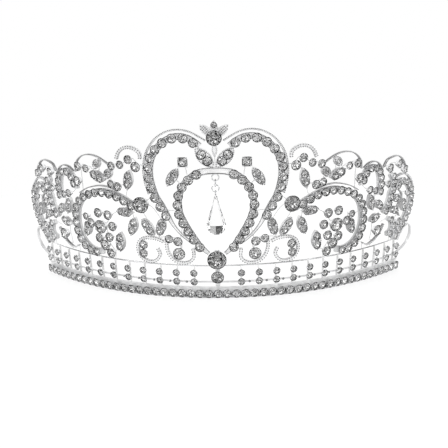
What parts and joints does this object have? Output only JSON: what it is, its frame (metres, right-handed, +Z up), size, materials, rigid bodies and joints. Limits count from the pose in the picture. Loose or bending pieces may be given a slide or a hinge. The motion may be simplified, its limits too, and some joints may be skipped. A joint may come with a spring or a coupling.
{
  "type": "tiara",
  "caption": "Curved openwork tiara: stone-set band and pickets, nested hearts, scrolls and leaf sprays, with a crystal drop hanging free on linked rings.",
  "frame": {"origin": "front centre of the band's lower edge, on the surface that the tiara stands on", "axes": "+Z up, +X along the band from the wearer's right to the wearer's left, +Y from the face back towards the band's ends; the wearer looks along -Y"},
  "size_m": [0.144, 0.0539, 0.0633],
  "materials": {
    "frame_plate": "bright silver plate on cast metal",
    "setting_plate": "bright silver plate on stamped cup settings",
    "wire_plate": "bright silver plate on wire and strip",
    "rhinestone": "clear cut glass with foil behind",
    "crystal": "clear cut crystal, polished facets"
  },
  "bodies": {
    "tiara": {"base_band": "frame_plate", "band_edge_wires": "wire_plate", "band_settings": "setting_plate", "band_stones": "rhinestone", "lower_rail": "wire_plate", "upper_rail": "wire_plate", "picket_posts": "frame_plate", "picket_settings": "setting_plate", "picket_stones": "rhinestone", "centre_post": "frame_plate", "centre_settings": "setting_plate", "centre_stones": "rhinestone", "inner_heart": "frame_plate", "inner_heart_settings": "setting_plate", "inner_heart_stones": "rhinestone", "outer_heart_left": "frame_plate", "outer_heart_right": "frame_plate", "outer_heart_rims": "wire_plate", "outer_heart_settings": "setting_plate", "outer_heart_stones": "rhinestone", "finial_leaves": "frame_plate", "finial_settings": "setting_plate", "finial_stones": "rhinestone", "cleft_leaves": "frame_plate", "cleft_leaf_stones": "rhinestone", "lobe_settings": "setting_plate", "lobe_stones": "rhinestone", "beaded_curl_left": "wire_plate", "beaded_curl_right": "wire_plate", "c_curl_left": "wire_plate", "c_curl_right": "wire_plate", "curl_settings": "setting_plate", "curl_stones": "rhinestone", "spray_leaves": "frame_plate", "spray_stones": "rhinestone", "small_top_arc_left": "wire_plate", "small_top_arc_right": "wire_plate", "large_top_arc_left": "wire_plate", "large_top_arc_right": "wire_plate", "main_scroll_left": "frame_plate", "main_scroll_right": "frame_plate", "scroll_settings": "setting_plate", "scroll_stones": "rhinestone", "flower_settings": "setting_plate", "flower_stones": "rhinestone", "side_arch_left": "frame_plate", "side_arch_right": "frame_plate", "far_loop_left": "frame_plate", "far_loop_right": "frame_plate", "side_settings": "setting_plate", "side_stones": "rhinestone", "end_loop_left": "wire_plate", "end_loop_right": "wire_plate", "support_wires": "wire_plate", "pendant_eye": "wire_plate"},
    "upper_ring": {"chain_ring_upper": "wire_plate"},
    "middle_ring": {"chain_ring_middle": "wire_plate"},
    "lower_ring": {"chain_ring_lower": "wire_plate"},
    "crystal": {"pendant_crystal": "crystal"}
  },
  "joints": [
    {"name": "upper_ring_swing", "type": "hinge", "parent": "tiara", "child": "upper_ring", "pos_m": [0, -0.00408, 0.04233], "axis": [1, 0, 0], "range_deg": [-40, 40]},
    {"name": "middle_ring_swing", "type": "hinge", "parent": "upper_ring", "child": "middle_ring", "pos_m": [0, -0.00408, 0.0404], "axis": [0, 1, 0], "range_deg": [-15, 15]},
    {"name": "lower_ring_swing", "type": "hinge", "parent": "middle_ring", "child": "lower_ring", "pos_m": [0, -0.00408, 0.03847], "axis": [1, 0, 0], "range_deg": [-30, 30]},
    {"name": "crystal_swing", "type": "hinge", "parent": "lower_ring", "child": "crystal", "pos_m": [0, -0.00408, 0.03634], "axis": [0, 1, 0], "range_deg": [-12, 12]}
  ]
}
